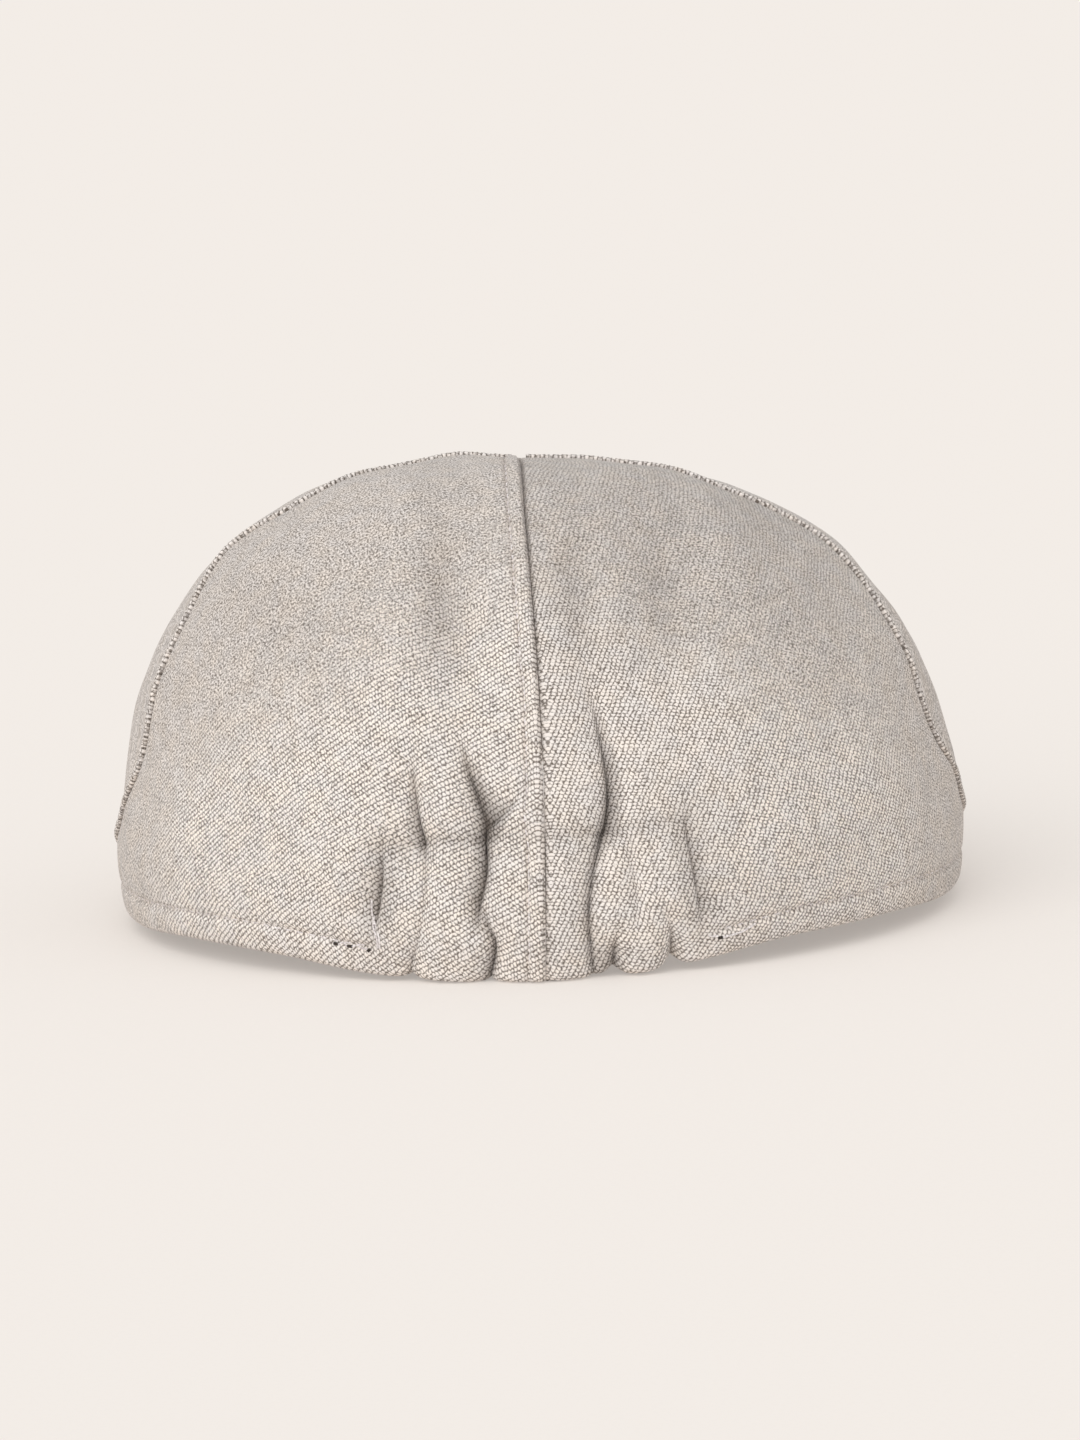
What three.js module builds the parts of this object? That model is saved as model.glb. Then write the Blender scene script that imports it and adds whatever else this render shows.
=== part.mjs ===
// A flat cap of wool twill: two back panels and a top panel sewn together, a stiff peak under the
// front hem, and a flat elastic that gathers the cloth at the back.
// Millimetres, +Z up. The cap rests on the plane z = 0 with its back towards -Y, its peak towards +Y
// and the wearer's right towards +X. The origin is the middle of the head opening, on that plane,
// until the last lines move it to the middle of the cap's length.
import * as THREE from "three";

// The head opening, outside the hem.
const HEM_HALF_WIDTH = 92.8;
const HEM_BACK = 96;
const HEM_FRONT = 99;
const HEM_SIDE_LIFT = 4.4; // the hem's height above the plane at the ears
const HEM_FRONT_LIFT = 24; // and at the forehead
const HEM_FLAT = 8; // degrees either side of the centre back where the hem lies on the plane
const HEM_RISEN = 38; // degrees from the centre back where it has reached the ears' height
const HEM_FRONT_RISE = 100; // degrees from the centre back where it starts to rise to the forehead
const HEM_FRONT_FULLNESS = 2.25; // exponent of the opening's outline in front of the ears; 2 is an ellipse

// The crown point is where the three panels meet.
const CROWN_HEIGHT = 100.5;
const CROWN_POINT_BACK = 6; // behind the middle of the opening
const CROWN_POINT_LEFT = 1.5;
const TOP_SLOPE = 8; // degrees that the top slopes down towards the peak at the crown point
const TOP_LEAN = 2.2; // degrees that the soft top slopes down to the right there
const BACK_SWELL = 1.5; // how far the crown stands out past the hem, at the back and sides
const FRONT_SWELL = 9; // and over the peak
const SWELL_HEIGHT = 14; // above the hem, where it stands out furthest
const SWELL_TURNS = { side: 1.1, front: 1.7 }; // quarter turns from the back where it changes over

// Cloth.
const WALL = 2.2;
const HEM_WALL = 3.4; // the turned hem
const HEM_BAND = 6; // its height
const SEAM_GAP = 0.4; // between two panels
const SEAT_GAP = 0.3; // between a panel and what is sewn to it

// The gathered back.
const GATHER_HALF_WIDTH = 34;
const GATHER_REACH = 52; // height at which the longest fold runs out
const FOLD_DEPTH = 5;
const FOLD_WIDTH = 6;
const GATHER_PUFF = 2; // how far the cloth stands out between the folds
const DENT_DEPTH = 2.5;
const ELASTIC_CLEARANCE = 4; // from the hem's band up to the elastic's lower edge
const ELASTIC_WIDTH = 20;
const ELASTIC_THICKNESS = 1.2;

// The peak.
const PEAK_THICKNESS = 4;
const PEAK_REACH = 52; // beyond the hem at the middle
const PEAK_LIFT = 8; // the front edge's height above the plane at the middle
const PEAK_FULLNESS = 2.3; // exponent of its front edge's outline; 2 is an ellipse
const PEAK_LEDGE = 8; // the strip inside the hem that the peak is sewn by
const PEAK_BOW = 0.3; // how much of its slope comes late; 0 is a straight slope
const PEAK_TURN = 114; // degrees from the centre back to each end of the peak
const PEAK_TOUCH = { from: 0.5, to: 0.66 }; // shares of half the front edge where it touches the plane

// How full each side of the crown is: the exponent of its rounded outline from hem to crown point.
const FULLNESS = { back: 2.3, side: 2.56, front: 1.7 };

// The side seam, from the hem in front of each ear, back over the side and up to the crown point.
// Turns are shares of a quarter turn.
const SEAM_START = 0.18; // in front of the ear at the hem
const SEAM_BOW = 0.24; // behind the ear
const SEAM_CURVES = [
  { up: 0.19, reach: 0.13, turn: -0.09 }, // further back low down
  { up: 0.53, reach: 0.12, turn: 0.08 }, // and forward again at the crown's shoulder
];

// Folds of the gathered back. Across is a share of GATHER_HALF_WIDTH from the centre back, to the
// right, at the hem (foot), halfway up the casing (waist) and where the fold runs out (head). Reach is
// a share of GATHER_REACH, depth of FOLD_DEPTH and width of FOLD_WIDTH.
const FOLDS = [
  { foot: -0.84, waist: -0.74, head: -0.8, reach: 0.92, depth: 0.6, width: 1.0 },
  { foot: -0.33, waist: -0.36, head: -0.46, reach: 0.95, depth: 1.0, width: 0.9 },
  { foot: 0.28, waist: 0.3, head: 0.38, reach: 1.0, depth: 0.8, width: 0.9 },
  { foot: 0.58, waist: 0.57, head: 0.48, reach: 0.7, depth: 0.5, width: 0.8 },
  { foot: 0.79, waist: 0.8, head: 0.8, reach: 0.35, depth: 0.4, width: 0.7 },
];

// Soft dents. Across and radius are shares of HEM_HALF_WIDTH, height of CROWN_HEIGHT, depth of DENT_DEPTH.
const DENTS = [
  { across: -0.22, height: 0.72, radius: 0.24, depth: 1.0 },
  { across: 0.27, height: 0.8, radius: 0.22, depth: 0.8 },
  { across: -0.62, height: 0.3, radius: 0.2, depth: 0.4 },
];

// Steps of the faceted surfaces.
const ROWS = 24; // from the hem to the crown point
const GATHER_COLUMNS = 15; // from the centre back to the end of the gathers
const BACK_COLUMNS = 10; // from there to the side seam
const TOP_COLUMNS = 36;
const PEAK_ROWS = 6;
const ELASTIC_COLUMNS = 26;

const CLOTH = new THREE.MeshStandardMaterial({ color: "#bab4ab", roughness: 0.95, metalness: 0 });
const ELASTIC = new THREE.MeshStandardMaterial({ color: "#d9d4ca", roughness: 0.85, metalness: 0 });

const QUARTER = Math.PI / 2;
const { degToRad, radToDeg, lerp, smoothstep } = THREE.MathUtils;
const bell = (x) => Math.exp(-x * x);

// Turn is the angle from the centre back, positive to the right; a half turn is the middle front.
// This is its size, the same on the left as on the right.
const fromBack = (turn) => Math.acos(Math.cos(turn));

function hemHeight(turn) {
  const degrees = radToDeg(fromBack(turn));
  const sides = HEM_SIDE_LIFT * smoothstep(degrees, HEM_FLAT, HEM_RISEN);
  return sides + (HEM_FRONT_LIFT - HEM_SIDE_LIFT) * smoothstep(degrees, HEM_FRONT_RISE, 180);
}

// A sine or cosine bent so that it draws a fuller outline than an ellipse.
const bent = (share, fullness) => Math.sign(share) * Math.abs(share) ** (2 / fullness);

function hemPoint(turn) {
  const inFront = Math.cos(turn) < 0;
  const fullness = inFront ? HEM_FRONT_FULLNESS : 2;
  const across = HEM_HALF_WIDTH * bent(Math.sin(turn), fullness);
  const along = (inFront ? HEM_FRONT : HEM_BACK) * bent(Math.cos(turn), fullness);
  return new THREE.Vector3(across, -along, hemHeight(turn));
}

// The crown before folds and dents. Up runs from 0 at the hem to 1 at the crown point.
function plainPoint(turn, up) {
  const away = fromBack(turn) / QUARTER;
  const behind = lerp(FULLNESS.back, FULLNESS.side, smoothstep(away, 0, 1));
  const fullness = lerp(behind, FULLNESS.front, smoothstep(away, 1, 2));
  const along = Math.max(Math.cos(up * QUARTER), 0);
  const rising = Math.sin(up * QUARTER);
  const size = (along ** fullness + rising ** fullness) ** (1 / fullness);
  const out = along / size;
  const rise = rising / size;

  const hem = hemPoint(turn);
  const swell = lerp(BACK_SWELL, FRONT_SWELL, smoothstep(away, SWELL_TURNS.side, SWELL_TURNS.front));
  const low = (rise * CROWN_HEIGHT) / SWELL_HEIGHT;
  const standing = (swell * low * low * Math.exp(2 - 2 * low)) / Math.hypot(hem.x, hem.y);
  const x = lerp(-CROWN_POINT_LEFT, hem.x * (1 + standing), out);
  const y = lerp(-CROWN_POINT_BACK, hem.y * (1 + standing), out);
  const forward = Math.tan(degToRad(TOP_SLOPE)) * (y + CROWN_POINT_BACK);
  const sideways = Math.tan(degToRad(TOP_LEAN)) * (x + CROWN_POINT_LEFT);
  return new THREE.Vector3(x, y, lerp(hem.z, CROWN_HEIGHT, rise) - (forward + sideways) * rise * rise);
}

// The direction out of the plain crown, level at the hem.
function outward(turn, up) {
  if (up === 1) {
    return new THREE.Vector3(Math.tan(degToRad(TOP_LEAN)), Math.tan(degToRad(TOP_SLOPE)), 1).normalize();
  }
  const step = 0.004;
  const low = Math.max(up - step, 0);
  const high = Math.min(up + step, 1 - step);
  const across = plainPoint(turn + step, Math.min(up, high)).sub(plainPoint(turn - step, Math.min(up, high)));
  const rising = plainPoint(turn, high).sub(plainPoint(turn, low));
  const normal = across.cross(rising);
  if (up === 0) normal.z = 0;
  return normal.normalize();
}

// Where a fold lies across the back at a height: straight from foot to waist, and from waist to head.
function foldAcross(fold, height) {
  const waist = 0.45 * fold.reach * GATHER_REACH;
  if (height < waist) return GATHER_HALF_WIDTH * lerp(fold.foot, fold.waist, height / waist);
  const above = Math.min((height - waist) / (fold.reach * GATHER_REACH - waist), 1);
  return GATHER_HALF_WIDTH * lerp(fold.waist, fold.head, above);
}

// How far the cloth at a place of the plain crown stands out from it, or lies inside it where negative.
// A fold is deepest in the middle of its reach and a little shallower at the hem.
function relief(place) {
  const behind = smoothstep(-place.y - CROWN_POINT_BACK, 0, 0.4 * HEM_BACK);
  const low = 1 - smoothstep(place.z, 0.2 * GATHER_REACH, GATHER_REACH);
  let move = GATHER_PUFF * bell(place.x / GATHER_HALF_WIDTH) * low;
  for (const fold of FOLDS) {
    const reach = fold.reach * GATHER_REACH;
    const fade = (1 - smoothstep(place.z, 0.55 * reach, reach)) * smoothstep(place.z, -reach, 0.4 * reach);
    const away = (place.x - foldAcross(fold, place.z)) / (0.5 * fold.width * FOLD_WIDTH);
    move -= fold.depth * FOLD_DEPTH * fade * bell(away);
  }
  for (const dent of DENTS) {
    const radius = dent.radius * HEM_HALF_WIDTH;
    const across = (place.x - dent.across * HEM_HALF_WIDTH) / radius;
    const height = (place.z - dent.height * CROWN_HEIGHT) / (1.4 * radius);
    move -= dent.depth * DENT_DEPTH * bell(Math.hypot(across, height));
  }
  return move * behind;
}

// A point of the cloth's outer face, or of its inner face where inner is true.
function clothPoint(turn, up, inner) {
  const place = plainPoint(turn, up);
  const band = smoothstep(place.z - hemHeight(turn), HEM_BAND, HEM_BAND + ELASTIC_CLEARANCE / 2);
  const thickness = inner ? lerp(HEM_WALL, WALL, band) : 0;
  return place.clone().addScaledVector(outward(turn, up), relief(place) - thickness);
}

function seamTurn(up) {
  let share = 1 + SEAM_START * (1 - up) ** 3 - SEAM_BOW * Math.sin(Math.PI * up ** 0.9);
  for (const curve of SEAM_CURVES) share += curve.turn * bell((up - curve.up) / curve.reach);
  return QUARTER * share;
}

// A closed solid from an outer and an inner grid of points, joined round their rims.
function closedSheet(outer, inner) {
  const points = [];
  const known = new Map();
  const corner = (p) => {
    const key = p.toArray().map((c) => c.toFixed(4)).join();
    if (!known.has(key)) {
      known.set(key, points.length);
      points.push(p);
    }
    return known.get(key);
  };
  const triangles = [];
  const quad = (a, b, c, d) => {
    for (const face of [[a, b, c], [a, c, d]]) {
      const [i, j, k] = face.map(corner);
      if (i !== j && j !== k && k !== i) triangles.push(i, j, k);
    }
  };

  const lastRow = outer.length - 1;
  const lastColumn = outer[0].length - 1;
  for (let i = 0; i < lastRow; i++) {
    for (let j = 0; j < lastColumn; j++) {
      quad(outer[i][j], outer[i][j + 1], outer[i + 1][j + 1], outer[i + 1][j]);
      quad(inner[i][j], inner[i + 1][j], inner[i + 1][j + 1], inner[i][j + 1]);
    }
    quad(outer[i][0], outer[i + 1][0], inner[i + 1][0], inner[i][0]);
    quad(outer[i][lastColumn], inner[i][lastColumn], inner[i + 1][lastColumn], outer[i + 1][lastColumn]);
  }
  for (let j = 0; j < lastColumn; j++) {
    quad(outer[0][j], inner[0][j], inner[0][j + 1], outer[0][j + 1]);
    quad(outer[lastRow][j], outer[lastRow][j + 1], inner[lastRow][j + 1], inner[lastRow][j]);
  }

  let volume = 0;
  for (let i = 0; i < triangles.length; i += 3) {
    const [a, b, c] = [0, 1, 2].map((k) => points[triangles[i + k]]);
    volume += a.dot(b.clone().cross(c));
  }
  const geometry = new THREE.BufferGeometry().setFromPoints(points);
  geometry.setIndex(volume > 0 ? triangles : triangles.reverse());
  geometry.computeVertexNormals();
  return geometry;
}

// Panels stand half a seam gap apart: the back panels out and back, the top panel and its peak forward.
function named(name, geometry, material, x, y) {
  const mesh = new THREE.Mesh(geometry, material);
  mesh.name = name;
  mesh.position.set(x, y, 0);
  return mesh;
}

// The points of one cloth face, row by row from the hem to the crown point.
function clothGrid(turnAt, columns, inner) {
  return Array.from({ length: ROWS + 1 }, (_, row) => {
    const up = row / ROWS;
    return columns.map((share) => clothPoint(turnAt(share, up), up, inner));
  });
}

// A back panel lies between the centre-back seam and a side seam. Side is 1 on the right.
function backPanel(name, side) {
  const gatherShare = Math.asin(GATHER_HALF_WIDTH / HEM_HALF_WIDTH) / QUARTER;
  const columns = [];
  for (let j = 0; j < GATHER_COLUMNS; j++) columns.push((gatherShare * j) / GATHER_COLUMNS);
  for (let j = 0; j <= BACK_COLUMNS; j++) columns.push(lerp(gatherShare, 1, j / BACK_COLUMNS));
  const turnAt = (share, up) => side * share * lerp(QUARTER, seamTurn(up), share * share);
  const geometry = closedSheet(clothGrid(turnAt, columns, false), clothGrid(turnAt, columns, true));
  return named(name, geometry, CLOTH, (side * SEAM_GAP) / 2, -SEAM_GAP / 2);
}

// The top panel runs from one side seam round the front to the other.
function topPanel() {
  const columns = Array.from({ length: TOP_COLUMNS + 1 }, (_, j) => j / TOP_COLUMNS);
  const turnAt = (share, up) => lerp(seamTurn(up), 4 * QUARTER - seamTurn(up), share);
  const geometry = closedSheet(clothGrid(turnAt, columns, false), clothGrid(turnAt, columns, true));
  return named("top_panel", geometry, CLOTH, 0, SEAM_GAP / 2);
}

// The height of the peak's underside along its front edge. Along runs from -1 to 1, end to end.
function peakEdgeHeight(along) {
  const away = Math.abs(along);
  const end = hemHeight(degToRad(PEAK_TURN)) - SEAT_GAP - PEAK_THICKNESS;
  if (away < PEAK_TOUCH.from) return PEAK_LIFT * Math.cos((QUARTER * away) / PEAK_TOUCH.from) ** 2;
  return end * smoothstep(away, PEAK_TOUCH.to, 1);
}

// The peak starts on a ledge inside the hem, passes level under it and slopes down to the front edge.
function peak() {
  const ends = hemPoint(degToRad(PEAK_TURN));
  const stations = [0, 1];
  for (let i = 1; i <= PEAK_ROWS; i++) stations.push(1 + i / PEAK_ROWS);

  const grid = (drop) => stations.map((station) => {
    const row = [];
    for (let j = 0; j <= TOP_COLUMNS; j++) {
      const along = lerp(-1, 1, j / TOP_COLUMNS);
      const turn = 2 * QUARTER - along * (2 * QUARTER - degToRad(PEAK_TURN));
      const hem = hemPoint(turn);
      const ledge = HEM_WALL + PEAK_LEDGE * (1 - along ** 6);
      const root = hem.clone().multiplyScalar(1 - ledge / Math.hypot(hem.x, hem.y)).setZ(hem.z);
      const edge = new THREE.Vector3(
        ends.x * bent(Math.sin(QUARTER * along), PEAK_FULLNESS),
        lerp(ends.y, HEM_FRONT + PEAK_REACH, bent(Math.cos(QUARTER * along), PEAK_FULLNESS)),
        peakEdgeHeight(along) + PEAK_THICKNESS + SEAT_GAP,
      );
      const out = station - 1;
      const place = station < 1 ? root : hem.clone().lerp(edge, out);
      if (out > 0) place.z = lerp(hem.z, edge.z, lerp(out, out * out, PEAK_BOW));
      row.push(place.setZ(place.z - SEAT_GAP - drop));
    }
    return row;
  });
  return named("peak", closedSheet(grid(0), grid(PEAK_THICKNESS)), CLOTH, 0, SEAM_GAP / 2);
}

// The elastic lies against the inner ends of the folds and meets the cloth at both of its ends.
function elasticBand() {
  const grid = (depth) => [0, 1 / 3, 2 / 3, 1].map((share) => {
    const height = HEM_BAND + ELASTIC_CLEARANCE + share * ELASTIC_WIDTH;
    const up = height / CROWN_HEIGHT / QUARTER;
    const row = [];
    for (let j = 0; j <= ELASTIC_COLUMNS; j++) {
      const across = lerp(-1, 1, j / ELASTIC_COLUMNS);
      const turn = Math.asin((across * GATHER_HALF_WIDTH) / HEM_HALF_WIDTH);
      const inset = WALL + SEAT_GAP + FOLD_DEPTH * (1 - across ** 4) + depth;
      row.push(plainPoint(turn, up).addScaledVector(outward(turn, up), -inset));
    }
    return row;
  });
  return named("elastic_band", closedSheet(grid(0), grid(ELASTIC_THICKNESS)), ELASTIC, 0, -SEAM_GAP / 2);
}

const cap = new THREE.Group();
cap.add(backPanel("back_panel_left", -1), backPanel("back_panel_right", 1));
cap.add(topPanel(), peak(), elasticBand());

// The origin goes to the middle of the cap's length and width, on the plane that it rests on.
const bounds = new THREE.Box3().setFromObject(cap);
cap.position.set(-(bounds.min.x + bounds.max.x) / 2, -(bounds.min.y + bounds.max.y) / 2, -bounds.min.z);

export default cap;
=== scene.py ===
import math

import bpy
import numpy as np
from mathutils import Matrix, Vector


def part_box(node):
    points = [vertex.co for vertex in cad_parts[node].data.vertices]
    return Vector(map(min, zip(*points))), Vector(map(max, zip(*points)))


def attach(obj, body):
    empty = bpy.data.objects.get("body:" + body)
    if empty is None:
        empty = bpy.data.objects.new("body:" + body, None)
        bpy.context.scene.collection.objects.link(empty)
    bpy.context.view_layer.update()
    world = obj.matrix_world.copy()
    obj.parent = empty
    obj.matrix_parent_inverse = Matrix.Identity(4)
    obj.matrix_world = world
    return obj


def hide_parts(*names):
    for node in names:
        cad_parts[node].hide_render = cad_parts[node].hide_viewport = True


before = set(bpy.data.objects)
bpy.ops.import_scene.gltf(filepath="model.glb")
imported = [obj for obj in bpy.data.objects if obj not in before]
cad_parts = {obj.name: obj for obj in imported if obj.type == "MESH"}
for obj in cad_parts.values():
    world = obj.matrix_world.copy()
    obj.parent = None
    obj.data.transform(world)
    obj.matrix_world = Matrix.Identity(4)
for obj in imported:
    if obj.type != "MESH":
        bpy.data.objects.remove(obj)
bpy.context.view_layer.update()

# A flat cap of wool twill. Sizes are in millimetres until a piece is made, and then in metres.
# Turn is the angle from the centre back, positive to the right, and up runs from 0 at the hem to 1
# at the crown point, where the three panels meet.
MM = 0.001
QUARTER = math.pi / 2

# The head opening, outside the hem.
HEM_HALF_WIDTH = 92.8
HEM_BACK = 96
HEM_FRONT = 99
HEM_SIDE_LIFT = 4.4
HEM_FRONT_LIFT = 24
HEM_FLAT, HEM_RISEN = 8, 38  # degrees from the centre back between which the hem leaves the table
HEM_FRONT_RISE = 100  # degrees from the centre back where it starts to rise to the forehead
HEM_FRONT_FULLNESS = 2.25

# The crown.
CROWN_HEIGHT = 100.5
CROWN_POINT_BACK = 6
CROWN_POINT_LEFT = 1.5
TOP_SLOPE, TOP_LEAN = 8, 2.2  # degrees down to the front and to the right
BACK_SWELL = 1.5
FRONT_SWELL = 9
SWELL_HEIGHT = 14
SWELL_SIDE, SWELL_FRONT = 1.1, 1.7  # quarter turns
FULL_BACK, FULL_SIDE, FULL_FRONT = 2.3, 2.56, 1.7  # exponents of the rounded outline

# The side seam, in shares of a quarter turn.
SEAM_START = 0.18
SEAM_BOW = 0.24
SEAM_CURVES = [(0.19, 0.13, -0.09), (0.53, 0.12, 0.08)]  # up, reach and turn

# The peak.
PEAK_THICKNESS = 4
PEAK_REACH = 52
PEAK_LIFT = 8
PEAK_FULLNESS = 2.3
PEAK_LEDGE = 8
PEAK_BOW = 0.3
PEAK_TURN = 114  # degrees
PEAK_TOUCH_FROM, PEAK_TOUCH_TO = 0.5, 0.66
SEAT_GAP = 0.3

# The cloth.
WALL = 2.2
HEM_WALL = 3.4
HEM_BAND = 6
BACK_RUN = 168  # of cloth from the hem to the crown point
SIDE_RUN = 145  # of cloth from the centre back to the side seam, low down
CAD_SEAM_GAP = 0.4  # between the solids' panels
SEAM_GAP = 0.1  # between the panels that show
WELT_WIDTH = 3.4  # of the centre-back seam allowance, pressed to the left and stitched down
WELT_RISE = 0.6
RIDGE_WIDTH = 1.4  # of the top panel's folded edge, which stands up along the side seams
RIDGE_HEIGHT = 0.75

# Sewing: pitch and length of the stitches, and the thread.
HEM_STITCHES = (3.1, 2.3)
WELT_STITCHES = (3.0, 2.2)
THREAD_RADIUS = 0.2
LOOSE_THREAD_RADIUS = 0.22
NEEDLE_HOLE_RADIUS = 0.7

# The gathers.
GATHER_HALF_WIDTH = 34
GATHER_REACH = 52
GATHER_PUFF = 2
FOLD_DEPTH = 5
ELASTIC_CLEARANCE = 4
ELASTIC_WIDTH = 20
ELASTIC_THICKNESS = 1.2

# A crease is a soft valley with a narrow fold in its middle.
VALLEY_SHARE = 0.38  # of its depth
VALLEY_WIDTH = 3.2

# Creases of the gathered back, each from top to bottom: height, place right of the centre seam,
# depth, width, and how far it fades to one side: to the right where positive.
CREASES = {
    "far left": [
        (56, -28.5, 0, 4, 0), (48, -27, 1.8, 3.0, 0), (40, -26.8, 3.6, 2.2, -0.3),
        (34, -26.2, 4.8, 1.3, -0.5), (30.5, -25.6, 5.6, 1.0, -0.5), (27, -25, 2.6, 2.0, 0),
        (18, -25, 2.2, 2.4, 0), (10, -26.4, 2.2, 2.0, 0), (4, -28.5, 3.2, 1.2, 0), (0, -28.9, 3.4, 1.1, 0),
    ],
    "left": [
        (56, -17, 0, 3.2, 0.3), (49, -16.2, 2.4, 2.0, 0.3), (43, -15.0, 5.2, 1.2, 0.4),
        (38, -13.8, 6.8, 1.0, 0.4), (33, -12.7, 6.4, 0.9, 0.2), (28.5, -11.9, 6.8, 0.8, -0.4),
        (23, -12.0, 7.2, 0.9, -0.5), (17, -13.4, 6.4, 1.1, -0.6), (13, -14.2, 3.4, 1.5, -0.4),
        (9, -14, 0, 2.0, 0),
    ],
    "left foot": [
        (16, -12.8, 0, 0.9, 0), (12.7, -11.4, 3.4, 0.8, -0.3), (7.5, -10.2, 6.0, 0.7, -0.4),
        (3, -10.9, 6.2, 0.7, -0.4), (0, -11.8, 6.2, 0.8, -0.4),
    ],
    "left dent": [
        (42, -2.6, 0, 2.4, 0), (39, -4.6, 1.8, 1.9, 0), (36.5, -7.2, 3.2, 1.5, 0),
        (33.5, -10.5, 3.8, 1.2, 0), (31.5, -13, 2.0, 1.1, 0),
    ],
    "right": [
        (68, 9, 0, 5, 0), (58, 11.6, 2.0, 3.4, 0.2), (49, 13.0, 4.2, 2.4, 0.4),
        (42, 14.1, 5.4, 1.6, 0.4), (36, 14.0, 7.2, 1.1, 0.4), (32, 13.0, 6.4, 0.9, 0.2),
        (28, 11.6, 5.2, 0.9, -0.3), (21.5, 9.7, 4.6, 1.1, -0.4), (12, 9.0, 4.8, 1.1, -0.4),
        (5, 9.5, 4.2, 1.1, -0.3), (0, 9.9, 3.6, 1.1, 0),
    ],
    "right soft": [
        (35, 15.4, 0, 2.0, 0), (28, 17.8, 1.8, 2.0, 0), (21, 19.4, 2.2, 2.0, 0), (14, 20, 2.0, 1.8, 0),
        (7, 19.6, 0, 1.6, 0),
    ],
    "right foot": [
        (12, 15.8, 0, 1.6, 0), (7.5, 15, 2.6, 1.4, 0), (3.5, 14.8, 5.0, 1.2, 0), (0, 14.8, 5.4, 1.3, 0),
    ],
    "far right foot": [
        (15, 26, 0, 1.6, 0), (9, 27, 2.4, 1.6, 0), (4.5, 27.1, 3.6, 1.4, 0), (0, 27.1, 4.2, 1.5, 0),
    ],
}

# Where the hem's lower edge is drawn up by a crease, or sags: place right of the centre seam, lift
# and width.
HEM_LIFTS = [
    (-28.8, 0.9, 2.0), (-11.6, 0.7, 1.2), (9.9, 0.5, 2.0), (14.8, 2.0, 2.2), (27.1, 2.7, 2.4),
    (-44, -1.3, 17), (-91, -1.8, 9), (91, -1.8, 9),
]

# Stitching that holds the elastic: along its top edge, and down its left and right ends.
CASING_LINES = {
    "top": [
        (29.6, -34.2, 1.0, 0.5, 0), (29.3, -27, 1.6, 0.5, 0), (30.4, -21, 1.3, 0.5, 0),
        (30.0, -13, 1.9, 0.5, 0), (31.6, -7, 1.1, 0.5, 0), (30.6, 0, 0.9, 0.5, 0), (30.0, 7, 1.3, 0.5, 0),
        (30.9, 13, 1.7, 0.5, 0), (31.3, 20, 1.0, 0.5, 0), (31.8, 31, 0.9, 0.5, 0),
    ],
    "left end": [
        (30, -33.8, 0.8, 0.5, -0.2), (27, -34.0, 2.2, 0.5, -0.4), (21, -34.6, 4.0, 0.5, -0.5),
        (15, -35.6, 4.0, 0.5, -0.4), (11.5, -36.3, 1.4, 0.5, 0), (6.5, -36.6, 0.6, 0.8, 0),
    ],
    "right end": [
        (32, 30.8, 1.2, 0.6, 0.3), (27, 31.2, 2.8, 0.6, 0.5), (19, 32.2, 2.6, 0.7, 0.6),
        (12, 33.3, 1.8, 0.8, 0.4), (6.5, 33.8, 0.6, 0.8, 0),
    ],
}

SEAM_DRIFT = 1.2  # how far the centre-back seam wanders to the right, halfway up

# Soft dents: place right of the middle, height, radius and depth.
DENTS = [
    (-18.5, 80, 8, 3.0), (-17, 66, 8, 1.6), (27.5, 84, 9, 1.8), (29, 72, 8, 1.2), (8, 80, 8, 1.0),
    (-57.5, 30, 18.5, 1.0), (33, 62, 13, 1.0), (-46, 80, 13, 1.2), (57, 72, 13, 1.4),
]

# Greyer patches, partly the felt's own grey and partly painted shade of the soft dents: place right
# of the middle, height, half width, half height and amount.
PATCHES = [
    (-20, 78, 4.5, 17, 0.5), (28, 78, 5, 15, 0.28), (8, 76, 4, 14, 0.35), (58, 66, 10, 9, 0.15),
    (53, 92, 10, 8, 0.2), (-54, 74, 13, 9, 0.15), (36, 58, 12, 10, -0.1),
]

# Slack of the cloth: long shallow waves, each with its direction in turns per metre, and its height.
SLACK = [
    ((31, 12, 17), 0.24, 0.3), ((-19, 9, 28), 0.22, 1.9), ((11, -27, 35), 0.2, 4.1),
    ((43, 21, -24), 0.12, 2.6), ((-37, 33, 41), 0.1, 5.2),
]

# Thread that shows, by panel (0 left, 1 right): its path as places right of the middle and heights.
THREAD_ENDS = [
    (0, [(-43.2, 7.6), (-42.2, 7.9), (-41.2, 7.5)]),
    (0, [(-40.6, 7.3), (-39.5, 7.6), (-38.4, 7.0), (-37.0, 6.9)]),
    (0, [(-35.6, 17.5), (-36.0, 14.5), (-35.5, 12.0), (-34.6, 9.6), (-34.4, 7.0)]),
    (0, [(-35.4, 14.0), (-35.9, 11.4), (-35.0, 9.0), (-35.2, 7.2)]),
    (1, [(37.4, 6.4), (39.2, 6.9), (41.4, 7.4), (44.2, 8.6)]),
    (1, [(34.6, 7.4), (35.6, 7.1), (36.6, 6.8)]),
]
NEEDLE_HOLES = [(0, (-44.2, 7.7)), (0, (-41.1, 7.2)), (0, (-37.4, 6.6)), (1, (36.8, 6.4))]

peak_low, peak_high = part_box("peak")
MIDDLE = np.array([
    (peak_low.x + peak_high.x) / 2 / MM,
    peak_high.y / MM - (HEM_FRONT + PEAK_REACH + CAD_SEAM_GAP / 2),
    0,
])  # of the head opening


# Shaping functions.


def lerp(a, b, share):
    return a + (b - a) * share


def smoothstep(x, low, high):
    share = np.clip((x - low) / (high - low), 0, 1)
    return share * share * (3 - 2 * share)


def bell(x):
    return np.exp(-x * x)


def bent(share, fullness):
    return np.sign(share) * np.abs(share) ** (2 / fullness)


def lengths(vectors):
    return np.linalg.norm(vectors, axis=-1)


def from_back(turn):
    return np.arccos(np.cos(turn))


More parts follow.
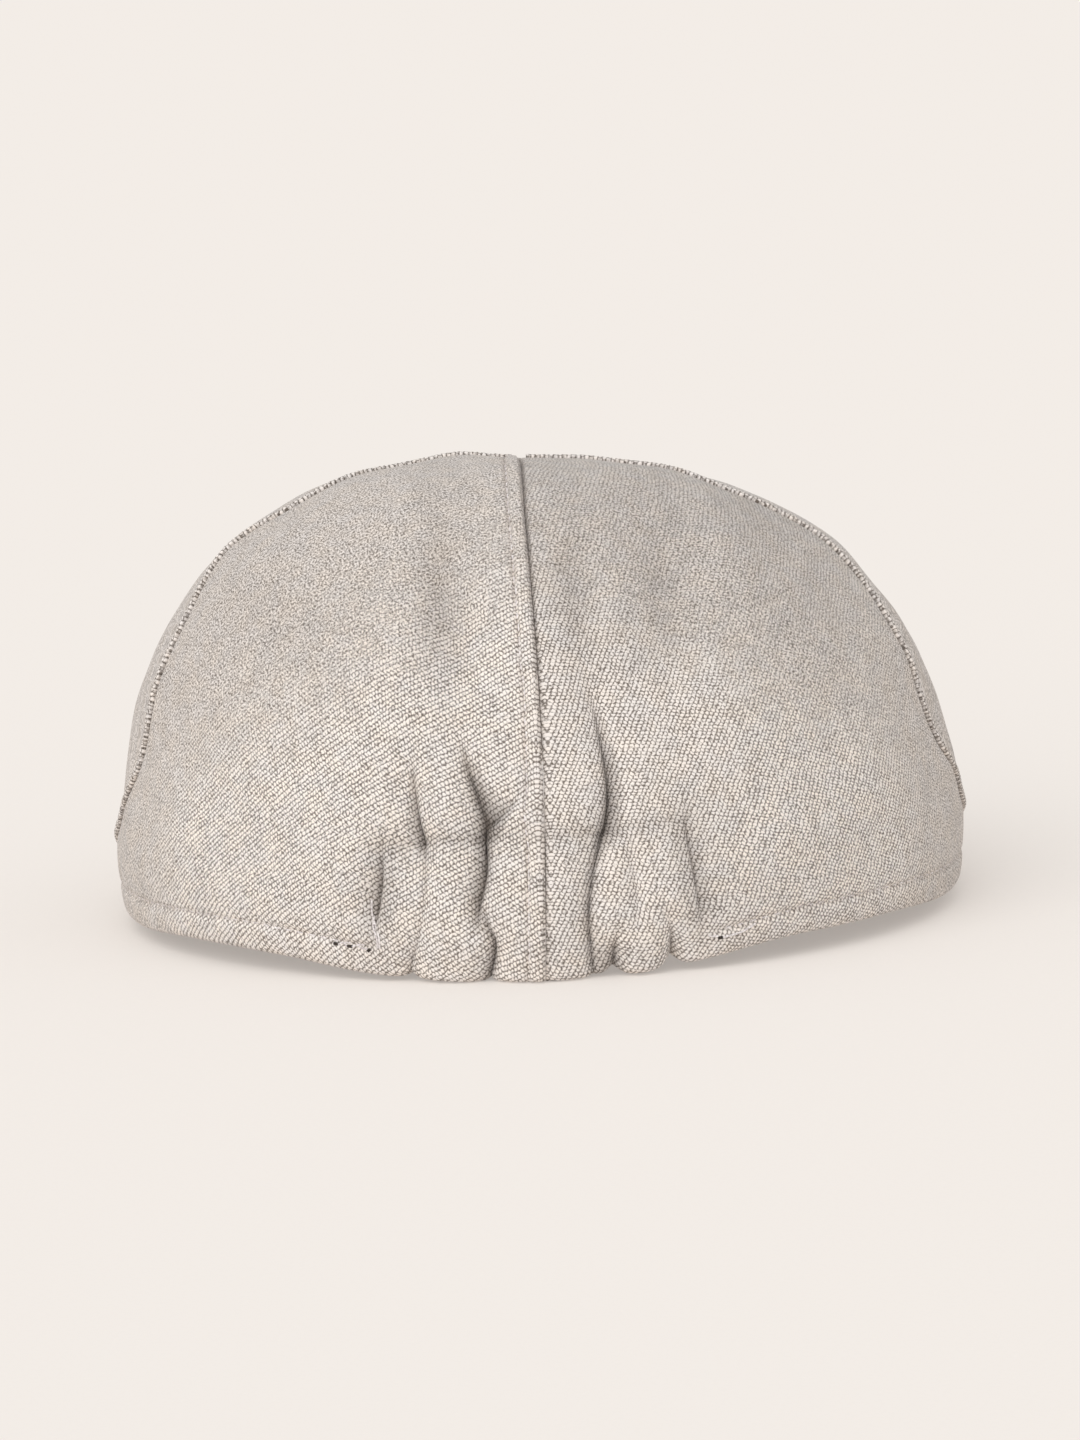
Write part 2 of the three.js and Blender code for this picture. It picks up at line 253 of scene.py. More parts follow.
def hem_height(turn):
    degrees = np.degrees(from_back(turn))
    sides = HEM_SIDE_LIFT * smoothstep(degrees, HEM_FLAT, HEM_RISEN)
    return sides + (HEM_FRONT_LIFT - HEM_SIDE_LIFT) * smoothstep(degrees, HEM_FRONT_RISE, 180)


def hem_point(turn):
    in_front = np.cos(turn) < 0
    fullness = np.where(in_front, HEM_FRONT_FULLNESS, 2)
    x = HEM_HALF_WIDTH * bent(np.sin(turn), fullness)
    y = -np.where(in_front, HEM_FRONT, HEM_BACK) * bent(np.cos(turn), fullness)
    return np.stack([x, y, hem_height(turn)], axis=-1)


def plain_point(turn, up):
    """The crown before folds and dents."""
    away = from_back(turn) / QUARTER
    behind = lerp(FULL_BACK, FULL_SIDE, smoothstep(away, 0, 1))
    fullness = lerp(behind, FULL_FRONT, smoothstep(away, 1, 2))
    along = np.maximum(np.cos(up * QUARTER), 0)
    rising = np.sin(up * QUARTER)
    size = (along**fullness + rising**fullness) ** (1 / fullness)
    out, rise = along / size, rising / size

    hem = hem_point(turn)
    swell = lerp(BACK_SWELL, FRONT_SWELL, smoothstep(away, SWELL_SIDE, SWELL_FRONT))
    low = rise * CROWN_HEIGHT / SWELL_HEIGHT
    standing = 1 + swell * low * low * np.exp(2 - 2 * low) / np.hypot(hem[..., 0], hem[..., 1])
    x = lerp(-CROWN_POINT_LEFT, hem[..., 0] * standing, out)
    y = lerp(-CROWN_POINT_BACK, hem[..., 1] * standing, out)
    slope = math.tan(math.radians(TOP_SLOPE)) * (y + CROWN_POINT_BACK)
    slope = slope + math.tan(math.radians(TOP_LEAN)) * (x + CROWN_POINT_LEFT)
    return np.stack([x, y, lerp(hem[..., 2], CROWN_HEIGHT, rise) - slope * rise * rise], axis=-1)


def directions(turn, up):
    """The direction out of the plain crown, level at the hem, and the direction along it to the right."""
    step = 0.004
    level = np.clip(up, 0, 1 - step)
    low, high = np.maximum(up - step, 0), np.minimum(up + step, 1 - step)
    along = plain_point(turn + step, level) - plain_point(turn - step, level)
    rising = plain_point(turn, high) - plain_point(turn, np.minimum(low, high - step / 2))
    out = np.cross(along, rising)
    out[..., 2] = np.where(up <= 0, 0, out[..., 2])
    top = np.array([math.tan(math.radians(TOP_LEAN)), math.tan(math.radians(TOP_SLOPE)), 1])
    out = np.where((up >= 1)[..., None], top, out)
    return out / lengths(out)[..., None], along / lengths(along)[..., None]


def seam_turn(up):
    share = 1 + SEAM_START * (1 - up) ** 3 - SEAM_BOW * np.sin(math.pi * up**0.9)
    for at, reach, turn in SEAM_CURVES:
        share += turn * bell((up - at) / reach)
    return QUARTER * share


def smooth_path(rows):
    """A crease's rows with their corners cut three times, so that it runs in a curve."""
    rows = np.array(rows, float)
    for _ in range(3):
        inner = np.stack([lerp(rows[:-1], rows[1:], 0.25), lerp(rows[:-1], rows[1:], 0.75)], axis=1)
        rows = np.concatenate([rows[:1], inner.reshape(-1, rows.shape[1]), rows[-1:]])
    return rows


def crease(across, height, rows):
    """How deep a crease draws in the cloth at each place, and how far its lips lean over it."""
    drop = np.zeros_like(across)
    lean = np.zeros_like(across)
    path = smooth_path(rows)
    near = (np.abs(across) < GATHER_HALF_WIDTH + 12) & (height < path[:, 0].max() + 12)
    place = np.stack([height[near], across[near]], axis=-1)
    start, step = path[:-1], np.diff(path, axis=0)
    share = ((place[:, None] - start[None, :, :2]) * step[None, :, :2]).sum(-1) / (step[:, :2] ** 2).sum(-1)
    share = np.clip(share, 0, 1)
    at = start[None] + step[None] * share[..., None]
    distance = lengths(place[:, None] - at[..., :2])
    best = distance.argmin(axis=1)
    pick = np.arange(len(best))
    distance, at = distance[pick, best], at[pick, best]
    side = np.sign(place[:, 1] - at[:, 1])
    depth, width = at[:, 2], at[:, 3] * (1 + side * at[:, 4])
    valley = VALLEY_SHARE * bell(distance / (VALLEY_WIDTH + width))
    drop[near] = depth * (valley + (1 - VALLEY_SHARE) * np.exp(-np.sqrt(distance**2 + 0.04) / width))
    reach = np.maximum(1.5 * at[:, 3], 1.1)
    lean[near] = -side * 0.3 * np.minimum(depth / 3, 1) * distance * np.exp(1 - distance / reach)
    return drop, lean


def slack(place):
    wave = np.zeros(place.shape[:-1])
    for turns, height, phase in SLACK:
        wave += height * np.sin(2 * math.pi * MM * (place @ np.array(turns, float)) + phase)
    return wave


def rolled(height):
    """How far a face of the hem is drawn in at a height above its lower edge, which is half round."""
    radius = HEM_WALL / 2 - 0.05
    share = np.clip(height / radius, 0, 1)
    return radius * (1 - np.sqrt(1 - (1 - share) ** 2))


def hem_band(height, loose):
    """The turned hem stands out a little under its row of stitches. Loose is 0 in the gathers."""
    band = 0.35 * np.sin(math.pi * np.clip(height / HEM_BAND, 0, 1))
    return loose * (band - 0.75 * bell((height - HEM_BAND) / 0.55))


def cloth_faces(turn, up):
    """Outer and inner points of the cloth, before seams, hem and gathers."""
    place = plain_point(turn, up)
    out, along = directions(turn, up)
    above = place[..., 2] - hem_height(turn)
    behind = smoothstep(-place[..., 1] - CROWN_POINT_BACK, 0, 0.4 * HEM_BACK)
    low = 1 - smoothstep(place[..., 2], 0.2 * GATHER_REACH, GATHER_REACH)
    soft = GATHER_PUFF * bell(place[..., 0] / GATHER_HALF_WIDTH) * low * behind
    for across, height, radius, depth in DENTS:
        far = np.hypot((place[..., 0] - across) / radius, (place[..., 2] - height) / (1.6 * radius))
        soft -= depth * bell(far) * behind
    soft += slack(place) * smoothstep(above, 2, 22) * (1 - smoothstep(up, 0.9, 1))

    drift = SEAM_DRIFT * np.sin(math.pi * np.clip(place[..., 2] / 95, 0, 1))
    drift *= bell(place[..., 0] / 24) * behind
    moved = place + np.stack([drift, 0 * drift, 0 * drift], axis=-1)
    outer = moved + out * (soft - rolled(above))[..., None]
    thickness = lerp(HEM_WALL, WALL, smoothstep(above, HEM_BAND, HEM_BAND + ELASTIC_CLEARANCE / 2))
    inner = moved + out * (soft - thickness + rolled(above))[..., None]
    return outer, inner, {"place": place, "out": out, "along": along, "above": above}


# Laying out the cloth's own threads.


def flatten(points, start=None, rounds=500):
    """Lays a grid of a shaped panel's points flat with its threads at their real lengths, as the
    panel was cut. Start is a first flat layout, where rows and columns alone would fold it."""
    run = np.cumsum(lengths(np.diff(points, axis=1, prepend=points[:, :1])), axis=1)
    rise = np.cumsum(lengths(np.diff(points, axis=0, prepend=points[:1])), axis=0)
    flat = np.stack([run, rise], axis=-1) if start is None else start.copy()
    rows, columns = points.shape[:2]

    def pull(a, b, weight):
        rest = lengths(points[b] - points[a])
        gap = flat[b] - flat[a]
        size = np.maximum(lengths(gap), 1e-6)
        move = 0.5 * weight * gap * ((size - rest) / size)[..., None]
        flat[a] += move
        flat[b] -= move

    everything = slice(None)
    for _ in range(rounds):
        for odd in (0, 1):
            pull((everything, slice(odd, columns - 1, 2)), (everything, slice(odd + 1, columns, 2)), 0.9)
            pull((slice(odd, rows - 1, 2),), (slice(odd + 1, rows, 2),), 0.9)
        pull((slice(0, -1), slice(0, -1)), (slice(1, None), slice(1, None)), 0.4)
        pull((slice(0, -1), slice(1, None)), (slice(1, None), slice(0, -1)), 0.4)
    return flat


def spread(coarse, rows, columns):
    """Values of a coarse grid at finer rows and columns, all as shares of the whole from 0 to 1."""
    height, width = coarse.shape[:2]
    fine = np.empty((len(rows), len(columns), 2))
    for k in range(2):
        wide = np.array([np.interp(columns, np.linspace(0, 1, width), row) for row in coarse[..., k]])
        fine[..., k] = np.array([np.interp(rows, np.linspace(0, 1, height), line) for line in wide.T]).T
    return fine


def upright(flat, column, low, high):
    """Turns a flat panel so that one of its columns runs straight up from the origin."""
    foot, head = flat[low, column], flat[high, column]
    along = (head - foot) / lengths(head - foot)
    across = np.array([along[1], -along[0]])
    return np.stack([(flat - foot) @ across, (flat - foot) @ along], axis=-1)


# Making pieces.


def clear_selection():
    if bpy.context.object and bpy.context.object.mode != "OBJECT":
        bpy.ops.object.mode_set(mode="OBJECT")
    bpy.ops.object.select_all(action="DESELECT")


def finish_piece(piece, material, replaces=()):
    """Shades a piece, gives it its material and lets it ride on the cap's one body."""
    clear_selection()
    piece.select_set(True)
    bpy.context.view_layer.objects.active = piece
    bpy.ops.object.shade_smooth_by_angle(angle=math.radians(60))
    piece.data.materials.clear()
    piece.data.materials.append(material)
    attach(piece, "root")
    if replaces:
        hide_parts(*replaces)


def cloth_piece(name, outer, inner, flat, values, shift=(0, 0, 0)):
    """A closed cloth piece: a grid is added, laid on the outer face, thickened, and its second face
    is laid on the inner one. Columns run to the right and rows upwards, seen from outside."""
    rows, columns = outer.shape[:2]
    clear_selection()
    bpy.ops.mesh.primitive_grid_add(x_subdivisions=columns - 1, y_subdivisions=rows - 1, size=1)
    piece = bpy.context.object
    piece.name = piece.data.name = name
    mesh = piece.data
    count = rows * columns
    assert len(mesh.vertices) == count, name
    move = MIDDLE + np.array(shift)
    mesh.vertices.foreach_set("co", ((outer.reshape(-1, 3) + move) * MM).ravel())

    corners = np.empty(len(mesh.loops), int)
    mesh.loops.foreach_get("vertex_index", corners)
    mesh.uv_layers[0].name = "cloth"
    mesh.uv_layers[0].data.foreach_set("uv", (flat.reshape(-1, 2)[corners] * MM).ravel())
    for key, value in values.items():
        layer = mesh.attributes.new(key, "FLOAT", "POINT")
        layer.data.foreach_set("value", np.broadcast_to(value, (rows, columns)).ravel().astype(float))

    wall = piece.modifiers.new("Wall", "SOLIDIFY")
    wall.thickness = WALL * MM
    wall.offset = -1
    bpy.ops.object.modifier_apply(modifier=wall.name)
    points = np.empty(len(mesh.vertices) * 3)
    mesh.vertices.foreach_get("co", points)
    points = points.reshape(-1, 3)
    points[count:] = (inner.reshape(-1, 3) + move) * MM
    mesh.vertices.foreach_set("co", points.ravel())
    mesh.update()

    bpy.ops.object.mode_set(mode="EDIT")
    bpy.ops.mesh.select_all(action="SELECT")
    bpy.ops.mesh.remove_doubles(threshold=2e-6)
    bpy.ops.mesh.normals_make_consistent(inside=False)
    bpy.ops.object.mode_set(mode="OBJECT")
    return piece


def tube_piece(name, paths, radius):
    """Fine threads in one mesh: each path is a list of points in millimetres, closed at both ends."""
    clear_selection()
    curve = bpy.data.curves.new(name, "CURVE")
    curve.dimensions = "3D"
    curve.bevel_depth = radius * MM
    curve.bevel_resolution = 1
    curve.use_fill_caps = True
    for path in paths:
        spline = curve.splines.new("POLY")
        spline.points.add(len(path) - 1)
        for point, at in zip(spline.points, path):
            point.co = (*((np.array(at) + MIDDLE) * MM), 1)
        spline.points[0].radius = spline.points[-1].radius = 0.5
    piece = bpy.data.objects.new(name, curve)
    bpy.context.collection.objects.link(piece)
    bpy.context.view_layer.objects.active = piece
    piece.select_set(True)
    bpy.ops.object.convert(target="MESH")
    return bpy.context.object


# Materials. Hex colours are sRGB.


def colour(code):
    parts = [int(code[i : i + 2], 16) / 255 for i in (1, 3, 5)]
    linear = [p / 12.92 if p <= 0.04045 else ((p + 0.055) / 1.055) ** 2.4 for p in parts]
    return (*linear, 1)


def add(tree, kind, *values, sockets=None, take=0, stops=(), **settings):
    """Adds a shader node and returns one of its outputs. Kind is the node's type, with its operation
    where it has one. Values go to its first sockets in order, and sockets names or numbers others:
    each takes another node's output or a plain value. Stops are a ramp's positions and colours."""
    kind, _, operation = kind.partition(" ")
    node = tree.nodes.new("ShaderNode" + kind)
    if operation:
        node.operation = operation
    for key, value in settings.items():
        setattr(node, key, value)
    for key, value in [*enumerate(values), *(sockets or {}).items()]:
        if isinstance(value, bpy.types.NodeSocket):
            tree.links.new(value, node.inputs[key])
        else:
            node.inputs[key].default_value = value
    for number, (position, code) in enumerate(stops):
        node.color_ramp.elements[number].position = position
        node.color_ramp.elements[number].color = colour(code)
    return node.outputs[take]


def new_material(name, roughness):
    material = bpy.data.materials.new(name)
    material.use_nodes = True
    shader = material.node_tree.nodes["Principled BSDF"]
    shader.inputs["Roughness"].default_value = roughness
    return material, material.node_tree, shader


def relieved(tree, shader, height, strength, depth):
    """Gives a surface its relief, with a depth in millimetres."""
    bump = add(tree, "Bump", sockets={"Strength": strength, "Distance": depth * MM, "Height": height})
    tree.links.new(bump, shader.inputs["Normal"])


RIB = 1.0  # mm from one twill line to the next
FLOAT = 0.76  # mm along a twill line from one float of yarn to the next
FLOAT_STEP = 0.42  # of a float, from one twill line to the next
FIBRE = 0.5  # mm, the finest mottling of the melange yarn that shows
CLOUD = 5  # mm, the size of the cloth's paler and darker clouds
ELASTIC_CORD = 1.5  # mm from one rubber cord of the elastic to the next
ELASTIC_PICK = 0.6  # mm from one pick across the elastic to the next
SWAYS = [(0.3, 0.55), (1.3, 0.3)]  # of the yarns: waves per mm and their reach in mm
TINT_PATCHES = 0.17  # of bluish and rosy fibres, per mm
PLY = 0.4  # mm, of the sewing thread

LIGHT_YARN, DARK_YARN = "#f4ede6", "#736a62"
LIGHT_FELT, DARK_FELT = "#ebe3db", "#766e66"
BLUISH, ROSY = "#dfe0ec", "#fdf0e6"
# A grey that darkens the cloth: partly the felt's own grey, partly painted shade of the soft dents.
GREY_AND_SHADE = "#c9c7c6"
SHADE = "#5a514a"  # painted shade deep in the folds, seams, casing lines and between seam teeth


def mottling(tree, place, scale, detail, roughness):
    """Soft uneven spots with values around zero."""
    spots = add(
        tree, "TexNoise", place, sockets={"Scale": scale, "Detail": detail, "Roughness": roughness},
        take="Fac", noise_dimensions="2D",
    )
    return add(tree, "Math SUBTRACT", spots, 0.5)


def mounded(tree, value, fullness):
    """Each unit of a value as a rounded mound from 0 up to 1 and back."""
    share = add(tree, "Math FRACT", value)
    away = add(tree, "Math ABSOLUTE", add(tree, "Math MULTIPLY_ADD", share, 2.0, -1.0))
    return add(tree, "Math SUBTRACT", 1.0, add(tree, "Math POWER", away, fullness))


def woven_floats(tree, place):
    """How high the floats of yarn stand, and a chance value for each. X runs along a twill line, and
    each line is stepped from the one before. Place is in millimetres."""
    parts = add(tree, "SeparateXYZ", place).node.outputs
    across = add(tree, "Math DIVIDE", parts["Y"], RIB)
    line = add(tree, "Math FLOOR", across)
    along = add(tree, "Math DIVIDE", parts["X"], FLOAT)
    along = add(tree, "Math MULTIPLY_ADD", line, FLOAT_STEP, along)
    cell = add(tree, "CombineXYZ", add(tree, "Math FLOOR", along), line)
    chance = add(tree, "TexWhiteNoise", cell, take="Value", noise_dimensions="2D")
    bead = add(tree, "Math MULTIPLY_ADD", mounded(tree, along, 2.0), 0.85, 0.15)
    return add(tree, "Math MULTIPLY", mounded(tree, across, 2.2), bead), chance


def wool_twill(name, degrees):
    """Melange wool twill, woven from cream and grey-brown yarn and lightly milled. Where it is crisp
    it shows slanting ribs of short bead-like floats with dark gaps, the grey-brown yarn with painted
    shade; where it is felted the fibres cover them and leave a fine salt-and-pepper grey. Degrees is
    the slant of the ribs."""
    material, tree, shader = new_material(name, 0.95)
    flat = add(tree, "UVMap", uv_map="cloth")
    turned = {"Rotation": (0, 0, -math.radians(degrees)), "Scale": (1 / MM, 1 / MM, 1 / MM)}
    place = add(tree, "Mapping", flat, sockets=turned)
    for per_mm, reach in SWAYS:
        waves = {"Scale": per_mm, "Detail": 1.0}
        sway = add(tree, "TexNoise", place, sockets=waves, take="Color", noise_dimensions="2D")
        place = add(tree, "VectorMath MULTIPLY_ADD", sway, (reach, reach, 0), place)
    float_height, chance = woven_floats(tree, place)
    fibre = mottling(tree, place, 1 / FIBRE, 2.0, 0.75)
    cloud = mottling(tree, place, 1 / CLOUD, 4.0, 0.65)

    # Woven: pale on top of the floats, dark between them, partly the grey-brown yarn and partly painted
    # shade, with a darker float here and there.
    tone = add(tree, "Math MULTIPLY", float_height, add(tree, "Math MULTIPLY_ADD", chance, 0.45, 0.62))
    tone = add(tree, "Math MULTIPLY_ADD", fibre, 1.7, tone)
    tone = add(tree, "Math MULTIPLY_ADD", cloud, 0.25, tone)
    woven = add(tree, "ValToRGB", tone, stops=[(0.03, DARK_YARN), (0.62, LIGHT_YARN)])

    # Felted: fibres of both yarns lie mixed over the floats, a little darker between them: painted shade.
    tone = add(tree, "Math MULTIPLY_ADD", float_height, 0.25, 0.42)
    tone = add(tree, "Math MULTIPLY_ADD", fibre, 3.6, tone)
    tone = add(tree, "Math MULTIPLY_ADD", cloud, 0.35, tone)
    felted = add(tree, "ValToRGB", tone, stops=[(0.0, DARK_FELT), (1.0, LIGHT_FELT)])

    crisp = add(tree, "Attribute", take="Fac", attribute_name="crisp")
    crisp = add(tree, "MapRange", add(tree, "Math MULTIPLY_ADD", cloud, 0.6, crisp), 0.15, 0.85)
    cloth = add(tree, "Mix", crisp, sockets={6: felted, 7: woven}, take=2, data_type="RGBA")

    # The dyed fibres cluster in faint bluish and rosy patches. Parts of the cloth are painted greyer,
    # partly the felt's own grey and partly painted shade of the soft dents, and the deep folds, seams
    # and casing lines get painted shade.
    patch = mottling(tree, flat, TINT_PATCHES / MM, 4.0, 0.6)
    patch = add(tree, "Math ADD", patch, 0.5)
    tint = add(tree, "ValToRGB", patch, stops=[(0.36, BLUISH), (0.66, ROSY)])
    grey = add(tree, "Attribute", take="Fac", attribute_name="grey")
    painted_shade = add(tree, "Attribute", take="Fac", attribute_name="painted_shade")
    painted_shade = add(tree, "Math MULTIPLY", painted_shade, 0.92)
    for amount, dye in ((0.22, tint), (grey, colour(GREY_AND_SHADE)), (painted_shade, colour(SHADE))):
        cloth = add(
            tree, "Mix", amount, sockets={6: cloth, 7: dye}, take=2, data_type="RGBA", blend_type="MULTIPLY"
        )
    tree.links.new(cloth, shader.inputs["Base Color"])

    woven = add(tree, "Math MULTIPLY_ADD", fibre, 0.5, float_height)
    felted = add(tree, "Math MULTIPLY_ADD", float_height, 0.2, fibre)
    height = add(tree, "Mix", crisp, sockets={2: felted, 3: woven}, data_type="FLOAT")
    relieved(tree, shader, height, 0.45, 0.2)
    shader.inputs["Specular IOR Level"].default_value = 0.2
    shader.inputs["Sheen Weight"].default_value = 0.1
    shader.inputs["Sheen Roughness"].default_value = 0.6
    return material


def wool_thread():
    """Spun wool sewing thread: pale, fuzzy and matt, with fine slanting plies."""
    material, tree, shader = new_material("wool_thread", 0.9)
    place = add(tree, "TexCoord", take="Object")
    ply = add(tree, "TexNoise", place, sockets={"Scale": 1 / (PLY * MM), "Detail": 2.0}, take="Fac")
    tone = add(tree, "ValToRGB", ply, stops=[(0.35, "#b5abaa"), (0.65, "#fbf6f5")])
    tree.links.new(tone, shader.inputs["Base Color"])
    relieved(tree, shader, ply, 0.4, 0.05)
    return material


def needle_hole():
    """The shade inside a hole that a coarse needle leaves in the cloth."""
    material, tree, shader = new_material("needle_hole_shade", 1)
    place = add(tree, "TexCoord", take="Object")
    fluff = add(tree, "TexNoise", place, sockets={"Scale": 3 / MM}, take="Fac")
    tone = add(tree, "ValToRGB", fluff, stops=[(0.3, "#26211e"), (0.7, "#4b423c")])
    tree.links.new(tone, shader.inputs["Base Color"])
    return material


def elastic_tape():
    """Woven elastic: off-white polyester over rubber cords, so it shows straight ribs along its
    length and fine crosswise picks."""
    material, tree, shader = new_material("woven_elastic", 0.8)
    parts = add(tree, "SeparateXYZ", add(tree, "UVMap", uv_map="cloth")).node.outputs
    cords = add(tree, "Math SINE", add(tree, "Math MULTIPLY", parts["Y"], 2 * math.pi / (ELASTIC_CORD * MM)))
    picks = add(tree, "Math SINE", add(tree, "Math MULTIPLY", parts["X"], 2 * math.pi / (ELASTIC_PICK * MM)))
    height = add(tree, "Math MULTIPLY_ADD", picks, 0.5, cords)
    # Painted shade: the tape is darker where it is low, between the cords and picks.
    tone = add(tree, "Math MULTIPLY_ADD", height, 0.33, 0.5)
    tone = add(tree, "ValToRGB", tone, stops=[(0.0, "#b9b3a9"), (1.0, "#efebe3")])
    tree.links.new(tone, shader.inputs["Base Color"])
    relieved(tree, shader, height, 0.7, 0.2)
    return material


# The cap's pieces.


def profile_ups(shares):
    """The up at each share of the way along the centre back, from the hem to the crown point."""
    up = np.linspace(0, 1, 2000)
    line = plain_point(np.zeros_like(up), up)
    run = np.cumsum(lengths(np.diff(line, axis=0, prepend=line[:1])))
    return np.interp(np.array(shares) * run[-1], run, up)


def pattern(turn_at, rows, columns, middle, from_above=False, grid=(45, 41)):
    """Where each point of a panel lies on its flat cloth. Rows and columns are shares of the way;
    middle is the column, as a share, that runs straight up the cloth. A panel that spreads widely
    around the crown point is first laid out as it is seen from the front and above."""
    ups = profile_ups(np.linspace(0, 1, grid[0]))
    rise, share = np.meshgrid(ups, np.linspace(0, 1, grid[1]), indexing="ij")
    points = plain_point(turn_at(share, rise), rise)
    seen = np.stack([-points[..., 0], (points[..., 2] - points[..., 1]) / math.sqrt(2)], axis=-1)
    flat = flatten(points, seen if from_above else None)
    column = int(round(middle * (grid[1] - 1)))
    return spread(upright(flat, column, 0, grid[0] // 2), rows, columns)


def steps(*stretches):
    """Distances that grow by each stretch's step up to its end."""
    values = [0.0]
    for end, step in stretches:
        count = max(int(round((end - values[-1]) / step)), 1)
        values += list(np.linspace(values[-1], end, count + 1)[1:])
    return np.array(values)


def seam_line(side, up):
    """The side seam on the plain crown, raised and drawn in with the cloth beside it."""
    turn = side * seam_turn(up)
    outer, _, facts = cloth_faces(turn, up)
    return outer, facts


def distance_to(points, line):
    """From each point to the nearest of a line's points."""
    flat = points.reshape(-1, 3)
    nearest = np.full(len(flat), np.inf)
    for i in range(0, len(line), 40):
        part = line[i : i + 40]
        nearest = np.minimum(nearest, lengths(flat[:, None] - part[None]).min(axis=1))
    return nearest.reshape(points.shape[:2])


def gather(side, rise, outer, inner, facts):
    """Moves a back panel's points into its gathers, casing, seams and hem. Side is 1 on the right.
    Returns how much painted shade each point gets, from 0 to 1, and how far it is from the centre-back seam."""
    place, above = facts["place"], facts["above"]
    seam = plain_point(np.zeros(len(rise)), rise)
    across = place[..., 0] - seam[:, None, 0]
    drop, stitched, lean = np.zeros_like(across), np.zeros_like(across), np.zeros_like(across)
    for rows in CREASES.values():
        deeper, further = crease(across, place[..., 2], rows)
        drop += deeper
        lean += further
    drop = 1.08 * FOLD_DEPTH * np.tanh(drop / (1.08 * FOLD_DEPTH))
    for rows in CASING_LINES.values():
        deeper, further = crease(across, place[..., 2], rows)
        stitched += deeper
        lean += 0.5 * further
    lean *= smoothstep(np.abs(across), 0.2, 3)
    loose = smoothstep(np.abs(across), GATHER_HALF_WIDTH, GATHER_HALF_WIDTH + 5)

    # The centre-back seam: on the left its allowance stands up in a welt, stitched down at the edge.
    from_seam = lengths(place - seam[:, None])
    fade = 1 - smoothstep(rise, 0.93, 1)[:, None]
    seam_dip = lerp(0.35, 0.75, smoothstep(place[..., 2], 35, 75)) * bell(from_seam / 0.5)
    if side < 0:
        edge = smoothstep(from_seam, WELT_WIDTH - 0.5, WELT_WIDTH + 0.3)
        stitched_down = 0.6 * bell((from_seam - WELT_WIDTH) / 0.4)
        welt = WELT_RISE * (smoothstep(from_seam, -0.3, 0.9) - edge) - stitched_down
    else:
        welt = -0.5 * bell(from_seam / 2.2)
    line, _ = seam_line(side, np.linspace(0, 1, 360))
    side_dip = 0.6 * bell(distance_to(place, line) / 0.8)

    move = hem_band(above, loose) + fade * (welt - seam_dip) - drop - stitched - side_dip
    outer += facts["out"] * move[..., None] + facts["along"] * lean[..., None]
    inner -= facts["out"] * (drop + 0.3 * stitched)[..., None]
    inner += facts["along"] * (0.5 * lean)[..., None]
    lift = np.zeros_like(across)
    for at, height, width in HEM_LIFTS:
        lift += height * bell((across - at) / width) * np.exp(-above / max(6, width))
    outer[..., 2] += lift
    inner[..., 2] += lift
    # Painted shade: deep in the folds, a little in the casing's stitch lines and along the centre-back seam.
    deep = np.clip((drop / FOLD_DEPTH - 0.34) / 0.6, 0, 1)
    return np.clip(deep + 0.22 * stitched + 0.4 * seam_dip * fade, 0, 1), from_seam


def crispness(place, side):
    """How clearly the weave shows: clear low on the back, felted towards the crown and the ears."""
    across, height = np.abs(place[..., 0]), place[..., 2]
    limit = 84 - 0.55 * across
    clear = 1 - smoothstep(height, limit - 22, limit + 24)
    clear *= 1 - 0.75 * smoothstep(across, 72, 90)
    return np.maximum(clear, 0.36 if side > 0 else 0.12)


def grey_and_dent_shade(place, side):
    """How much greyer the cloth is painted: on the right towards the crown, and in patches that are
    partly the felt's own grey and partly painted shade of the soft dents.
    """
    grey = 0.02 + 0.3 * smoothstep(place[..., 2], 45, 100) * (side > 0)
    for across, height, wide, tall, amount in PATCHES:
        far = np.hypot((place[..., 0] - across) / wide, (place[..., 2] - height) / tall)
        grey = grey + amount * bell(far)
    return np.clip(grey, 0, 1)


def back_panel(side, material):
    """Side is 1 on the right and -1 on the left. Returns what the sewing is laid on."""
    word = "right" if side > 0 else "left"
    rows = steps((1.6, 0.32), (14, 0.55), (62, 0.62), (BACK_RUN, 1.2)) / BACK_RUN
    columns = steps((4.4, 0.27), (40, 0.46), (SIDE_RUN - 4, 1.05), (SIDE_RUN, 0.6)) / SIDE_RUN

    def turn_at(share, up):
        return side * share * lerp(QUARTER, seam_turn(up), share * share)

    rise = profile_ups(rows)
    up, share = np.meshgrid(rise, columns, indexing="ij")
    turn = turn_at(share, up)
    outer, inner, facts = cloth_faces(turn, up)
    plain_run = np.cumsum(lengths(np.diff(outer, axis=1, prepend=outer[:, :1])), axis=1)
    painted_shade, from_seam = gather(side, rise, outer, inner, facts)

    # The gathers take up more cloth than the plain crown.
    run = np.cumsum(lengths(np.diff(outer, axis=1, prepend=outer[:, :1])), axis=1)
    flat = pattern(turn_at, rows, columns, 0)
    flat[..., 0] = side * (np.abs(flat[..., 0]) + 0.5 * (run - plain_run))
    place = facts["place"]
    values = {"painted_shade": painted_shade, "crisp": crispness(place, side), "grey": grey_and_dent_shade(place, side)}
    shift = (side * SEAM_GAP / 2, -SEAM_GAP / 2, 0)
    order = slice(None, None, side)
    values = {key: value[:, order] for key, value in values.items()}
    piece = cloth_piece(f"back_{word}", outer[:, order], inner[:, order], flat[:, order], values, shift)
    finish_piece(piece, material, [f"back_panel_{word}"])
    return outer, facts["out"], facts["above"], from_seam


